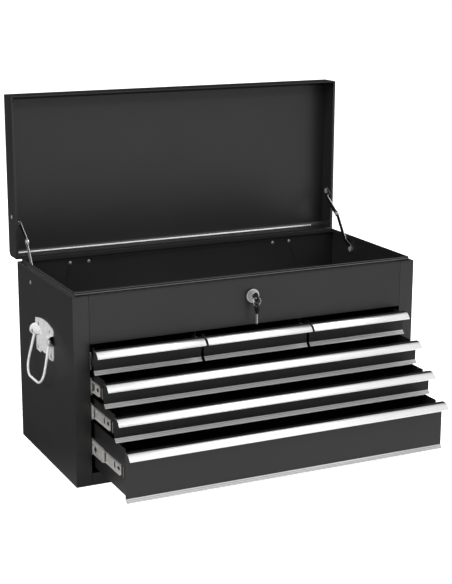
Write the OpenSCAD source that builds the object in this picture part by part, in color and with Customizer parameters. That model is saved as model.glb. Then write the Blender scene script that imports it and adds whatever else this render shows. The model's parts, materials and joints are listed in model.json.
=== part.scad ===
// Machinist tool chest: a sheet steel case with a lift-up lid over a top till,
// three small drawers in the top row and three full-width drawers below.
// The origin is at the centre of the base; +X is right, +Y is back, +Z is up.

/* [Case] */
// Outside width of the case
case_w = 580; // [520:1:700]
// Outside depth of the case
case_d = 260; // [250:1:330]
// Height of the case up to the step that the lid rests on
case_h = 292; // [286:1:340]
// Thickness of the case, pan, fascia and floor sheet
sheet = 1; // [0.8:0.1:1.2]
// Width of each front stile
stile_w = 25; // [20:1:30]
// Height of the base rail below the lowest drawer
rail_h = 19.2; // [15:0.1:19.5]
// Step inward from the case side to the rim
step_in = 6; // [5:0.1:8]
// Height of the rim above the step
rim_h = 5.6; // [4:0.1:6]
// Depth of the top till, from its floor up to the step
till_depth = 72; // [60:0.5:72]
// Width of the welding flanges on the sheet pieces
flange = 12; // [8:0.5:14]

/* [Lid] */
// Height of the closed lid above the step
lid_h = 37.7; // [34:0.1:50]
// Thickness of the lid sheet
lid_sheet = 1; // [0.8:0.1:1.2]
// Outside radius of the bend along the back edge of the lid
lid_back_r = 8; // [4:0.5:10]
// Outside radius of the bend along the front edge of the lid
lid_front_r = 2; // [1.5:0.1:4]
// Gap between the closed lid and the step
lid_gap = 0.3; // [0.2:0.1:1]
// Width of the turned-in edge along the sides and the back of the lid
lid_hem = 4; // [3:0.1:4.4]
// Width of the turned-in edge along the front of the lid
lid_front_hem = 2.2; // [1.5:0.1:4.4]

/* [Lid hinges] */
// Distance of each hinge from the middle of the case
hinge_x = 185; // [150:1:220]
// Length of each hinge
hinge_len = 50; // [45:1:60]
// Thickness of the hinge leaves
hinge_leaf = 1; // [0.8:0.1:1.2]
// Outside radius of the hinge knuckles
knuckle_r = 2.2; // [2:0.05:2.2]
// Radius of the hinge pins
hinge_pin_r = 1.1; // [0.9:0.05:1.2]
// Height of the leaf on the case, below the pin
hinge_leaf_h = 19; // [16:0.5:22]
// Distance between the two rivets of a leaf
hinge_rivet_pitch = 32; // [24:1:36]
// Distance from the hinge pin to the rivets
hinge_rivet_drop = 10.5; // [8:0.5:11]

/* [Lid stays] */
// Distance of the lower stay pivot in front of the hinge axis
stay_case_dy = 68.5; // [60:0.5:75]
// Distance of the lower stay pivot below the hinge axis
stay_case_dz = 19.5; // [18:0.5:21]
// Thickness of the stay links
stay_t = 1.2; // [1:0.1:1.5]
// Width of the stay links
stay_w = 9; // [8:0.5:11]
// Radius of the stay rivets
stay_rivet_r = 1.6; // [1.4:0.1:1.8]

/* [Drawers] */
// Gap between the fascia and the top edge of the top row of drawers
row_gap = 5.7; // [5.5:0.1:12]
// Distance from one row of drawers to the next
row_pitch = 38.8; // [38.6:0.1:39.2]
// Height of the fronts of the shallow drawers
front_h = 30.8; // [26:0.1:31]
// Gap between the front of the bottom drawer and the base rail
floor_gap = 7.8; // [7:0.1:12]
// Width of the middle drawer of the top row
middle_front_w = 176; // [150:1:220]
// Gap between neighbouring fronts of the top row
front_split = 4.6; // [4:0.1:8]
// Gap between a front and the stile beside it
front_gap = 0.6; // [0.5:0.1:1.5]
// Depth of the drawer boxes, front included
drawer_d = 224; // [215:1:226]
// Thickness of the drawer sheet
drawer_sheet = 0.8; // [0.7:0.1:1]
// Height of the back of the shallow drawers
drawer_back_h = 27; // [20:0.5:28]
// How far the top row is pulled out
pulled_1 = 14; // [0:1:100]
// How far the second row is pulled out
pulled_2 = 54; // [0:1:120]
// How far the third row is pulled out
pulled_3 = 94; // [0:1:140]
// How far the bottom drawer is pulled out
pulled_4 = 133; // [0:1:150]

/* [Drawer pulls and trims] */
// How far the pulls stand out in front of the drawer fronts
pull_out = 19; // [16:0.5:20]
// Height of the pulls, from the top edge to the tip
pull_drop = 9.6; // [8:0.1:11]
// Thickness of the pull cover
pull_t = 1; // [0.8:0.1:1.2]
// Width of the steel lip under the pull cover
lip_out = 6; // [5:0.1:8]
// How far the trims stand out at their lower edge
trim_out = 4.8; // [3:0.1:6]
// Height of the trims
trim_h = 5.5; // [4:0.1:5.8]
// Thickness of the trims
trim_t = 0.9; // [0.7:0.1:1.2]
// Width of the two grooves along the face of the trims
trim_groove = 0.5; // [0.3:0.1:0.5]

/* [Drawer slides] */
// Room for a slide beside each drawer
slide_room = 6.2; // [6:0.1:6.8]
// Height of the slide member on the drawer
slide_inner_h = 16; // [15:0.2:16.4]
// Height of the middle slide member
slide_middle_h = 20.8; // [20.4:0.2:21.2]
// Height of the slide member on the case
slide_outer_h = 25.6; // [25.2:0.2:26]
// Thickness of the slide members
slide_t = 0.8; // [0.7:0.05:0.9]
// Length of the slide member on the drawer
slide_inner_l = 200; // [180:1:201]
// Length of the middle slide member
slide_middle_l = 180; // [160:1:182]
// Length of the slide member on the case
slide_outer_l = 224; // [200:1:226]
// Distance from the top of a drawer down to the middle of its slides
slide_drop = 20.5; // [20:0.1:21]
// Distance from the middle of the bottom drawer's front down to its slides
deep_slide_drop = 1.2; // [0:0.1:6]
// Distance from a drawer front back to its slide member
slide_setback = 27.5; // [24:0.5:29]

// How far the middle members of the top row stand out of the case, where less than 0 is inside
middle_ahead_1 = -8; // [-20:1:0]
// The same for the second row
middle_ahead_2 = -4; // [-20:1:20]
// The same for the third row
middle_ahead_3 = 0; // [-10:1:40]
// The same for the bottom drawer
middle_ahead_4 = 42; // [20:1:60]
// Distance from the edge of a drawer front in to the drawer wall
drawer_inset = 4.9; // [4.7:0.1:5.2]

/* [Side handles] */
// Width of the handle plates
plate_w = 84; // [80:1:92]
// Distance from the step down to the axis of the bails
bail_axis_drop = 88.8; // [88:0.2:120]
// Thickness of the handle plates
plate_t = 1.2; // [1:0.1:1.5]
// Radius of the hoods at their open outer ends
hood_r = 9.8; // [9.6:0.1:12]
// Radius of the bail wire
wire_r = 2; // [1.6:0.1:2]
// Length of the bail from its axis to its grip
bail_drop = 70; // [60:1:80]
// Lean of the hanging bail away from the case, in degrees
bail_lean = 12.5; // [8:0.5:14]

/* [Lock] */
// Distance of the lock below the step
lock_drop = 27.5; // [22:0.5:36]
// Radius of the lock body
lock_r = 9; // [8:0.1:9.5]
// Radius of the bezel around the lock
bezel_r = 11.5; // [11:0.1:13]
// Radius of the lock plug
plug_r = 5.5; // [5:0.1:6]

/* [Hidden] */

// Sheet pieces that touch are drawn face to face; fit is the play round shanks and pins.
fit = 0.05;
play = 0.3;
round_fn = 48;

half_w = case_w / 2;
half_d = case_d / 2;
open_x = half_w - stile_w;
till_z = case_h - till_depth;
rim_x = half_w - step_in;
rim_y = half_d - step_in;
rim_top = case_h + rim_h;
lap_groove = 0.4;

// Hinge axis, just behind and below the back edge of the step.
axis_y = half_d + knuckle_r + play;
axis_z = case_h - 0.5;
lid_z0 = case_h + lid_gap;
lid_top = lid_z0 + lid_h;

// Row data: the top edge, front height, slide drop and pull of each row.
row_z = [for (i = [0:3]) till_z - sheet - row_gap - i * row_pitch];
deep_front_h = row_z[3] - rail_h - floor_gap;
row_front = [front_h, front_h, front_h, deep_front_h];
row_slide = [for (i = [0:3]) row_z[i] - (i == 3 ? deep_front_h / 2 + deep_slide_drop : slide_drop)];
row_pulled = [pulled_1, pulled_2, pulled_3, pulled_4];
// Where the front end of the middle slide member lies in front of the case face.
middle_ahead = [middle_ahead_1, middle_ahead_2, middle_ahead_3, middle_ahead_4];
wide_half = open_x - front_gap;
middle_half = middle_front_w / 2;
split_x = middle_half + front_split / 2;

// Handle placing.
plate_y = plate_w / 2;
plate_mid_z = case_h - bail_axis_drop;
plate_z = plate_mid_z - 32.5;
bail_x = half_w + plate_t + wire_r + 1.1;
bail_half_top = 35;
bail_half_low = 38.8;
hood_tip_y = 18;
hood_tip_r = 4.5;

// Stay pivots in the side view, as [y, z]: on the case, at the joint and on the lid.
stay_case = [axis_y - stay_case_dy, axis_z - stay_case_dz];
stay_joint = stay_case + [39, 56];
stay_lid = stay_case + [88, 88];
stay_lower_l = norm(stay_joint - stay_case);
stay_upper_l = norm(stay_lid - stay_joint);
stay_lower_a = atan2(stay_joint[1] - stay_case[1], stay_joint[0] - stay_case[0]);
stay_upper_a = atan2(stay_lid[1] - stay_joint[1], stay_lid[0] - stay_joint[0]);
// The lower link runs just inside the rim, and the upper link lies inside it.
stay_lower_x = rim_x - sheet - 0.6 - stay_t;
stay_upper_x = stay_lower_x - 0.2 - stay_t;
stay_slot_run = 8.7;
// The upper link steps out to the lid between these distances from the joint, which
// lie inside the turned-in edge of the lid.
stay_crank_a = stay_upper_l - 17;
stay_crank_b = stay_upper_l - 13.2;
stay_slot_half = stay_rivet_r + 1.4;

module at_sides() {
    for (side = [-1, 1])
        scale_x(side) children();
}

module scale_x(side) {
    if (side > 0) children();
    else mirror([1, 0, 0]) children();
}

// A box from its lowest corner to its highest corner.
module block(lo, hi) {
    translate(lo) cube(hi - lo);
}

// Draws a side view, given as [y, z], from x0 to x1.
module along_x(x0, x1) {
    translate([x0, 0, 0])
        rotate([90, 0, 90])
            linear_extrude(x1 - x0) children();
}

// A cylinder along X from x0 to x1 at [y, z].
module rod_x(x0, x1, at, r) {
    translate([x0, at[0], at[1]])
        rotate([0, 90, 0]) cylinder(h = x1 - x0, r = r, $fn = round_fn);
}

// A cylinder along Y from y0 to y1 at [x, z].
module rod_y(y0, y1, at, r) {
    translate([at[0], y1, at[1]])
        rotate([90, 0, 0]) cylinder(h = y1 - y0, r = r, $fn = round_fn);
}

// ---------------------------------------------------------------- case

module case_side() {
    // side wall, front stile, and the stepped rim along the side
    block([half_w - sheet, -half_d, 0], [half_w, half_d, case_h - sheet]);
    block([open_x, -half_d, 0], [half_w, -half_d + sheet, case_h - sheet]);
    block([rim_x - sheet, -half_d, case_h - sheet], [half_w, half_d, case_h]);
    block([rim_x - sheet, -rim_y + sheet, case_h], [rim_x, rim_y, rim_top]);
}

module case_shell() {
    color([0.2, 0.2, 0.2])
    difference() {
        union() {
            at_sides() case_side();
            block([-half_w, half_d - sheet, 0], [half_w, half_d, case_h - sheet]);
            block([-half_w, rim_y - sheet, case_h - sheet], [half_w, half_d, case_h]);
            block([-rim_x, rim_y - sheet, case_h], [rim_x, rim_y, rim_top]);
            // the step over the stiles, as deep as the fascia's
            at_sides()
                block([open_x, -half_d, case_h - sheet], [half_w, -rim_y + sheet, case_h]);
        }
        case_rivet_holes();
        step_groove(half_w + 1);
    }
}

// The line along the front where the sheet of the step laps the sheet below it.
module step_groove(x1) {
    z1 = case_h - sheet - 0.2;
    block([-x1, -half_d - 1, z1 - lap_groove], [x1, -half_d + lap_groove, z1]);
}

module case_rivet_holes() {
    at_hinge_rivets()
        rod_y(half_d - 2 * sheet, half_d + sheet, [0, 0], hinge_rivet_r + fit);
    at_sides() {
        rod_x(half_w - 2 * sheet, half_w + sheet, stay_case, stay_rivet_r + fit);
        at_handle_rivets()
            rod_x(half_w - 2 * sheet, half_w + sheet, [0, 0], handle_rivet_r + fit);
    }
}

module base_pan() {
    inner_x = half_w - sheet;
    inner_y = half_d - sheet;
    color([0.2, 0.2, 0.2]) {
        union() {
            block([-inner_x, -inner_y, 0], [inner_x, inner_y, sheet]);
            at_sides()
                block([inner_x - sheet, -inner_y, sheet], [inner_x, inner_y, flange]);
            block([-inner_x, inner_y - sheet, sheet], [inner_x, inner_y, flange]);
            // front rail, flush with the stiles, with its top edge turned in
            block([-open_x + play, -half_d, 0], [open_x - play, -inner_y, rail_h]);
            block([-open_x + play, -inner_y, rail_h - sheet], [open_x - play, -half_d + 8, rail_h]);
        }
    }
}

module front_fascia() {
    fascia_x = open_x - play;
    color([0.23, 0.23, 0.23])
    difference() {
        union() {
            block([-fascia_x, -half_d, till_z - sheet], [fascia_x, -half_d + sheet, case_h]);
            block([-fascia_x, -half_d, till_z - sheet], [fascia_x, -half_d + flange, till_z]);
            block([-fascia_x, -half_d, case_h - sheet], [fascia_x, -rim_y + sheet, case_h]);
            block([-fascia_x, -rim_y, case_h - sheet], [fascia_x, -rim_y + sheet, case_h]);
            // the front rim reaches over both stiles to the corners
            block([-rim_x, -rim_y, case_h], [rim_x, -rim_y + sheet, rim_top]);
        }
        rod_y(-half_d - sheet, -half_d + 2 * sheet, [0, lock_z], lock_r + fit);
        step_groove(fascia_x + 1);
    }
}

module till_floor() {
    inner_x = half_w - sheet;
    inner_y = half_d - sheet;
    color([0.16, 0.16, 0.16]) {
        block([-inner_x, -inner_y, till_z], [inner_x, inner_y, till_z + sheet]);
        at_sides()
            block([inner_x - sheet, -inner_y, till_z + sheet], [inner_x, inner_y, till_z + flange]);
        block([-inner_x, inner_y - sheet, till_z + sheet], [inner_x, inner_y, till_z + flange]);
        block([-inner_x, -inner_y, till_z + sheet], [inner_x, -inner_y + sheet, till_z + flange]);
    }
}

// The partitions hang from the till floor between the small drawers.
partition_t = 2;
partition_z = row_z[0] - front_h - 4;

module drawer_partitions() {
    back_y = half_d - sheet;
    color([0.2, 0.2, 0.2])
    at_sides()
        translate([split_x, 0, 0]) {
            block([-partition_t / 2, -half_d + flange + play, partition_z],
                  [partition_t / 2, back_y, till_z]);
            block([-flange, -half_d + flange + play, till_z - sheet], [flange, back_y, till_z]);
            block([-flange, back_y - sheet, partition_z], [flange, back_y, till_z]);
        }
}

// Upright hat channels that carry the case members of the slides.
post_face = wide_half - drawer_inset + slide_room;
post_w = 22;
post_foot = 8;
post_front_y = -half_d + flange + 2;
post_back_y = -half_d + slide_outer_l - post_w - 4;

module slide_post(y0) {
    wall_x = half_w - sheet;
    foot_x = wall_x - sheet;
    y1 = y0 + post_w;
    block([post_face, y0, sheet], [post_face + sheet, y1, till_z]);
    for (y = [y0, y1 - sheet])
        block([post_face, y, sheet], [foot_x, y + sheet, till_z]);
    // welding flanges, above the edge of the base pan
    block([foot_x, y0 - post_foot, flange], [wall_x, y0 + sheet, till_z]);
    block([foot_x, y1 - sheet, flange], [wall_x, y1 + post_foot, till_z]);
}

module slide_posts() {
    color([0.2, 0.2, 0.2])
    at_sides() {
        slide_post(post_front_y);
        slide_post(post_back_y);
    }
}

// ---------------------------------------------------------------- drawer slides

// Each slide is drawn with its drawer on the -X side, from x = 0 at the drawer wall
// to x = slide_room at the case, and with its middle height at z = 0.

// A slide member in end view: a web from web_x, flanges that reach back to edge_x, and
// curled edges that close in on the member of height held_h that runs inside.
module channel_shape(h, web_x, edge_x, held_h) {
    lip_h = (h - held_h) / 2 - slide_t - play;
    translate([web_x, -h / 2]) square([slide_t, h]);
    for (up = [-1, 1])
        scale([1, up]) {
            translate([edge_x, h / 2 - slide_t]) square([web_x - edge_x, slide_t]);
            translate([edge_x, held_h / 2 + play]) square([slide_t, lip_h + slide_t / 2]);
        }
}

// The member on the drawer in end view: its web lies on the drawer, its flanges stand out.
module inner_shape() {
    translate([0, -slide_inner_h / 2]) square([slide_t, slide_inner_h]);
    for (up = [-1, 1])
        scale([1, up])
            translate([0, slide_inner_h / 2 - slide_t]) square([3, slide_t]);
}

// Draws an end view, given as [x, z], from y0 to y1.
module along_y(y0, y1) {
    translate([0, y1, 0])
        rotate([90, 0, 0])
            linear_extrude(y1 - y0) children();
}

// A round-ended slot through a slide web, running along Y from y0 to y1 with radius r.
module web_slot(x0, x1, y0, y1, r) {
    rod_x(x0, x1, [y0, 0], r);
    rod_x(x0, x1, [y1, 0], r);
    if (y1 > y0) block([x0, y0, -r], [x1, y1, r]);
}

module inner_member(y0) {
    difference() {
        along_y(y0, y0 + slide_inner_l) inner_shape();
        web_slot(-1, 2, y0 + 7, y0 + 10, 2.2);
        translate([0, y0 + 24, 0]) scale_slot(1.4, 4.5);
        web_slot(-1, 2, y0 + slide_inner_l - 20, y0 + slide_inner_l - 14, 2.2);
    }
}

// An upright round-ended slot with half width r and half height h.
module scale_slot(r, h) {
    rod_x(-1, 2, [0, h - r], r);
    rod_x(-1, 2, [0, r - h], r);
    block([-1, -r, r - h], [2, r, h - r]);
}

module middle_member(y0) {
    web_x = 3.6;
    difference() {
        along_y(y0, y0 + slide_middle_l)
            channel_shape(slide_middle_h, web_x, 1.2, slide_inner_h);
        translate([web_x, y0 + 29, 0]) {
            scale_slot(1.2, 4.5);
            rotate([90, 0, 0]) scale_slot(1.2, 4.5);
        }
    }
}

// The ball retainer inside the middle member: two bars of balls, above and below the
// inner member, joined by a tab in front of the middle member. The bars are wider than
// the balls, which stand out of them above and below only.
module ball_retainer(y0) {
    gap_z = (slide_inner_h + slide_middle_h) / 4 - slide_t / 2;
    bar_x = 2.1;
    bar_w = 1.4;
    bar = 1;
    tab_x = 3.3;
    tab_t = 0.6;
    ball_pitch = 9;
    for (up = [-1, 1]) {
        translate([bar_x, y0 - retainer_ahead, up * gap_z - bar / 2])
            cube([bar_w, retainer_l, bar]);
        for (k = [1 : 5])
            translate([bar_x + bar_w / 2, y0 + (k - 0.5) * ball_pitch, up * gap_z])
                sphere(ball_r, $fn = 24);
    }
    block([tab_x, y0 - retainer_ahead, -gap_z - bar / 2],
          [tab_x + tab_t, y0 - play, gap_z + bar / 2]);
}

ball_r = 0.65;
retainer_l = 52;
retainer_ahead = 5;

module outer_member(y0) {
    difference() {
        along_y(y0, y0 + slide_outer_l)
            channel_shape(slide_outer_h, slide_room - slide_t, 2.4, slide_middle_h);
        for (y = [y0 + flange + 2 + post_w / 2, y0 + slide_outer_l - 6 - post_w / 2])
            web_slot(slide_room - 2, slide_room + 1, y - 2, y + 2, 2);
    }
}

// Places a slide against both walls of a drawer whose box reaches from x0 to x1.
module at_box_walls(x0, x1, z) {
    translate([x1, 0, z]) children();
    translate([x0, 0, z]) mirror([1, 0, 0]) children();
}

outer_y = -half_d + sheet + 1;

module slide_case_members() {
    color([0.62, 0.6, 0.57]) {
        for (i = [0:3])
            at_box_walls(-wide_half + drawer_inset, wide_half - drawer_inset, row_slide[i])
                outer_member(outer_y);
        at_box_walls(-middle_half + drawer_inset, middle_half - drawer_inset, row_slide[0])
            outer_member(outer_y + flange);
        at_sides()
            at_inner_wall(split_x + front_split / 2 + drawer_inset, row_slide[0])
                outer_member(outer_y + flange);
    }
}

module at_inner_wall(x, z) {
    translate([x, 0, z]) mirror([1, 0, 0]) children();
}

// ---------------------------------------------------------------- drawers

// face_y is the plane of a drawer front as the drawer stands.
function face_y(i) = -half_d - row_pulled[i];

module drawer_box(x0, x1, i) {
    t = drawer_sheet;
    y0 = face_y(i);
    y1 = y0 + drawer_d;
    z1 = row_z[i];
    z0 = z1 - row_front[i];
    wall_z = z1 + 0.5;
    bx0 = x0 + drawer_inset;
    bx1 = x1 - drawer_inset;
    back_z = z0 + row_front[i] - front_h + drawer_back_h;
    lip = lip_out - pull_t;
    color([0.17, 0.17, 0.17])
    difference() {
        union() {
            // front, with its lip for the pull, and the flared edge that carries the trim
            block([x0, y0, z0], [x1, y0 + t, z1]);
            block([x0, y0 - lip, z1 - t], [x1, y0 + t, z1]);
            block([bx0, y0, z0], [bx1, y1, z0 + t]);
            block([bx0, y0, z0], [bx0 + t, y1, wall_z]);
            block([bx1 - t, y0, z0], [bx1, y1, wall_z]);
            block([bx0, y1 - t, z0], [bx1, y1, back_z]);
            at_box_walls(bx0, bx1, row_slide[i]) wall_bead(y0 + slide_setback);
        }
        // the walls step down behind the front
        for (x = [bx0 - 1, bx1 - t - 1])
            block([x, y0 + t, z1 - 3.5], [x + t + 2, y0 + 10, wall_z + 1]);
    }
}

// The bead pressed out of a drawer wall around the front end of its slide.
module wall_bead(y1) {
    top = slide_inner_h / 2;
    for (run = [[bead_run, -top, bead_w], [bead_run, top - bead_w, bead_run - 1]])
        block([0, y1 - run[0], run[1]], [bead_out, y1 - run[0] + run[2], top]);
}

bead_run = 10;
bead_w = 1.8;
bead_out = 0.8;

// The pull in end view, as [y, z] from the top edge of the front: a plate that laps
// the lip, curves over and ends in a rounded nose.
module pull_shape() {
    nose = 1.6;
    difference() {
        union() {
            translate([-lip_out, -pull_t]) square([lip_out - 0.8, pull_t]);
            pull_sector();
            translate([-pull_out + nose, -pull_drop + nose]) circle(nose, $fn = 32);
        }
        pull_hollow();
    }
}

module pull_sector() {
    rx = pull_out - lip_out;
    intersection() {
        translate([-pull_out, -pull_drop]) square([rx, pull_drop]);
        translate([-lip_out, -pull_arc_r]) circle(pull_arc_r, $fn = 96);
    }
}

// Radius of the arc that starts level at the lip and passes the tip of the pull.
pull_arc_r = (pow(pull_out - lip_out, 2) + pow(pull_drop, 2)) / (2 * pull_drop);

module pull_hollow() {
    translate([-lip_out, -pull_arc_r]) circle(pull_arc_r - pull_t, $fn = 96);
}

module drawer_pull(x0, x1, i) {
    color([0.95, 0.95, 0.95])
    translate([0, face_y(i), row_z[i] + pull_t])
        along_x(x0 - 0.3, x1 + 0.3) pull_shape();
}

// The trim in end view: a strip under the front that flares forward.
module trim_shape() {
    difference() {
        polygon([[0, 0], [-trim_out, -trim_h], [-trim_out + trim_t, -trim_h], [trim_t + 0.2, 0]]);
        for (k = [1, 2])
            translate([-trim_out * k / 3, -trim_h * k / 3])
                rotate(45) square(trim_groove, center = true);
    }
}

module drawer_trim(x0, x1, i) {
    color([0.62, 0.62, 0.62])
    translate([0, face_y(i), row_z[i] - row_front[i]])
        along_x(x0, x1) trim_shape();
}

module drawer_slides(x0, x1, i) {
    color([0.66, 0.64, 0.6])
    at_box_walls(x0 + drawer_inset, x1 - drawer_inset, row_slide[i])
        inner_member(face_y(i) + slide_setback);
}

module drawer_slide_middles(x0, x1, i) {
    color([0.6, 0.58, 0.55])
    at_box_walls(x0 + drawer_inset, x1 - drawer_inset, row_slide[i]) {
        middle_member(-half_d - middle_ahead[i]);
        ball_retainer(-half_d - middle_ahead[i]);
    }
}

left_x0 = -wide_half;
left_x1 = -middle_half - front_split;

module drawer_top_left_box() drawer_box(left_x0, left_x1, 0);
module drawer_top_left_pull() drawer_pull(left_x0, left_x1, 0);
module drawer_top_left_trim() drawer_trim(left_x0, left_x1, 0);
module drawer_top_left_slides() drawer_slides(left_x0, left_x1, 0);
module drawer_top_left_slide_middles() drawer_slide_middles(left_x0, left_x1, 0);
module drawer_top_middle_box() drawer_box(-middle_half, middle_half, 0);
module drawer_top_middle_pull() drawer_pull(-middle_half, middle_half, 0);
module drawer_top_middle_trim() drawer_trim(-middle_half, middle_half, 0);
module drawer_top_middle_slides() drawer_slides(-middle_half, middle_half, 0);
module drawer_top_middle_slide_middles() drawer_slide_middles(-middle_half, middle_half, 0);
module drawer_top_right_box() drawer_box(-left_x1, -left_x0, 0);
module drawer_top_right_pull() drawer_pull(-left_x1, -left_x0, 0);
module drawer_top_right_trim() drawer_trim(-left_x1, -left_x0, 0);
module drawer_top_right_slides() drawer_slides(-left_x1, -left_x0, 0);
module drawer_top_right_slide_middles() drawer_slide_middles(-left_x1, -left_x0, 0);
module drawer_second_box() drawer_box(-wide_half, wide_half, 1);
module drawer_second_pull() drawer_pull(-wide_half, wide_half, 1);
module drawer_second_trim() drawer_trim(-wide_half, wide_half, 1);
module drawer_second_slides() drawer_slides(-wide_half, wide_half, 1);
module drawer_second_slide_middles() drawer_slide_middles(-wide_half, wide_half, 1);
module drawer_third_box() drawer_box(-wide_half, wide_half, 2);
module drawer_third_pull() drawer_pull(-wide_half, wide_half, 2);
module drawer_third_trim() drawer_trim(-wide_half, wide_half, 2);
module drawer_third_slides() drawer_slides(-wide_half, wide_half, 2);
module drawer_third_slide_middles() drawer_slide_middles(-wide_half, wide_half, 2);
module drawer_bottom_box() drawer_box(-wide_half, wide_half, 3);
module drawer_bottom_pull() drawer_pull(-wide_half, wide_half, 3);
module drawer_bottom_trim() drawer_trim(-wide_half, wide_half, 3);
module drawer_bottom_slides() drawer_slides(-wide_half, wide_half, 3);
module drawer_bottom_slide_middles() drawer_slide_middles(-wide_half, wide_half, 3);

// ---------------------------------------------------------------- lid

// The lid and what rides on it are drawn closed, then turned about the hinge axis
// to the open position.
module opened() {
    translate([0, axis_y, axis_z])
        rotate([-90, 0, 0])
            translate([0, -axis_y, -axis_z]) children();
}

// The lid in side view, grown inward by t.
module lid_shape(t) {
    back_r = lid_back_r - t;
    front_r = lid_front_r - t;
    y0 = -half_d + t;
    y1 = half_d - t;
    z1 = lid_top - t;
    union() {
        translate([y0, lid_z0 - t]) square([y1 - y0, z1 - lid_back_r - lid_z0 + t]);
        translate([y0 + front_r, lid_z0 - t]) square([y1 - y0 - front_r - back_r, z1 - lid_z0 + t]);
        translate([y0 + front_r, z1 - front_r]) circle(front_r, $fn = 32);
        translate([y0, lid_z0]) square([front_r, z1 - front_r - lid_z0]);
        translate([y1 - back_r, z1 - back_r]) circle(back_r, $fn = 64);
    }
}

module lid_shell() {
    t = lid_sheet;
    color([0.22, 0.22, 0.22])
    opened()
    difference() {
        intersection() {
            along_x(-half_w, half_w) lid_shape(0);
            block([-half_w, -half_d, lid_z0], [half_w, half_d, lid_top]);
        }
        intersection() {
            along_x(-half_w + t, half_w - t) lid_shape(t);
            union() {
                block([-half_w, -half_d, lid_z0 + t], [half_w, half_d, lid_top]);
                block([-half_w + lid_hem, -half_d + lid_front_hem, lid_z0 - t],
                      [half_w - lid_hem, half_d - lid_hem, lid_z0 + 2 * t]);
            }
        }
        at_sides()
            rod_x(half_w - 2 * t, half_w + t, stay_lid_closed, stay_rivet_r + fit);
    }
}

// The lid pivot of the stays when the lid is closed.
stay_lid_closed = [axis_y - (stay_lid[1] - axis_z), axis_z + stay_lid[0] - axis_y];

// ---------------------------------------------------------------- hinges

hinge_rivet_r = 1.6;
knuckles = 5;
knuckle_gap = 0.3;

// Places children at each rivet that holds a hinge leaf on the case.
module at_hinge_rivets() {
    for (side = [-1, 1], end = [-1, 1])
        translate([side * hinge_x + end * hinge_rivet_pitch / 2, 0, axis_z - hinge_rivet_drop])
            children();
}

// Draws the knuckles whose numbers are listed.
module knuckle_row(numbers) {
    step = hinge_len / knuckles;
    for (n = numbers)
        translate([-hinge_len / 2 + n * step + knuckle_gap / 2, axis_y, axis_z])
            rotate([0, 90, 0])
                cylinder(h = step - knuckle_gap, r = knuckle_r, $fn = round_fn);
}

// A leaf that stands against the back, with its knuckles; dir is -1 for the case.
module hinge_leaf_solid(numbers, dir) {
    step = hinge_len / knuckles;
    edge = knuckle_r + play + 0.2;
    difference() {
        union() {
            translate([0, 0, axis_z])
                block([-hinge_len / 2, half_d, dir > 0 ? edge : -hinge_leaf_h],
                      [hinge_len / 2, half_d + hinge_leaf, dir > 0 ? hinge_leaf_h : -edge]);
            for (n = numbers)
                translate([-hinge_len / 2 + n * step + knuckle_gap / 2, 0, axis_z])
                    block([0, half_d + play, dir > 0 ? 0 : -edge],
                          [step - knuckle_gap, half_d + play + 0.7, dir > 0 ? edge : 0]);
            for (n = numbers)
                translate([-hinge_len / 2 + n * step + knuckle_gap / 2, 0, axis_z])
                    block([0, half_d, dir > 0 ? edge : -edge - 1],
                          [step - knuckle_gap, half_d + hinge_leaf, dir > 0 ? edge + 1 : -edge]);
            knuckle_row(numbers);
        }
        rod_x(-hinge_len, hinge_len, [axis_y, axis_z], hinge_pin_r + fit);
        // the leaf on the lid is spot welded and has no holes
        if (dir < 0)
            for (end = [-1, 1])
                translate([end * hinge_rivet_pitch / 2, 0, axis_z - hinge_rivet_drop])
                    rod_y(half_d - 1, half_d + 3, [0, 0], hinge_rivet_r + fit);
    }
}

module hinge_case_leaves() {
    color([0.5, 0.5, 0.5])
    for (side = [-1, 1])
        translate([side * hinge_x, 0, 0]) hinge_leaf_solid([0, 2, 4], -1);
}

module hinge_lid_leaves() {
    color([0.5, 0.5, 0.5])
    opened()
    for (side = [-1, 1])
        translate([side * hinge_x, 0, 0]) hinge_leaf_solid([1, 3], 1);
}

module hinge_pins() {
    color([0.6, 0.6, 0.6])
    for (side = [-1, 1])
        rod_x(side * hinge_x - hinge_len / 2, side * hinge_x + hinge_len / 2,
              [axis_y, axis_z], hinge_pin_r);
}

// ---------------------------------------------------------------- rivets

handle_rivet_r = 1.6;

// A domed rivet head that stands on z = 0.
module rivet_head(r, h) {
    dome_r = (r * r + h * h) / (2 * h);
    rotate_extrude($fn = round_fn)
        intersection() {
            translate([0, h - dome_r]) circle(dome_r, $fn = 2 * round_fn);
            square([r, h]);
        }
}

// A rivet along +Z: its outer head sits on z = 0, the shank runs down by grip, and
// the upset head closes it underneath.
module rivet(r, grip) {
    rivet_head(2.1 * r, 0.7 * r);
    translate([0, 0, -grip]) cylinder(h = grip, r = r, $fn = round_fn);
    translate([0, 0, -grip]) mirror([0, 0, 1]) rivet_head(1.7 * r, 0.5 * r);
}

// A rivet through the back, at the hinge.
module back_rivet(grip) {
    translate([0, half_d + hinge_leaf, 0]) rotate([-90, 0, 0]) rivet(hinge_rivet_r, grip);
}

// The stay rivets have a wide collar between the wall and the link.
collar = 0.9;

module stay_wall_rivet(at) {
    translate([half_w, at[0], at[1]])
        rotate([0, 90, 0]) {
            rivet(stay_rivet_r, sheet);
            translate([0, 0, -sheet - collar]) cylinder(h = collar, r = 4.4, $fn = round_fn);
            translate([0, 0, -sheet - collar - stay_t - 0.4])
                cylinder(h = stay_t + 0.4 + collar, r = stay_rivet_r, $fn = round_fn);
            translate([0, 0, -sheet - collar - stay_t - 1.4])
                cylinder(h = 1, r = 4.4, $fn = round_fn);
        }
}

module case_rivets() {
    color([0.3, 0.3, 0.3]) {
        at_hinge_rivets() back_rivet(hinge_leaf + sheet);
        at_sides() stay_wall_rivet(stay_case);
    }
}

module lid_rivets() {
    color([0.3, 0.3, 0.3])
    opened()
    at_sides() stay_wall_rivet(stay_lid_closed);
}

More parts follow.
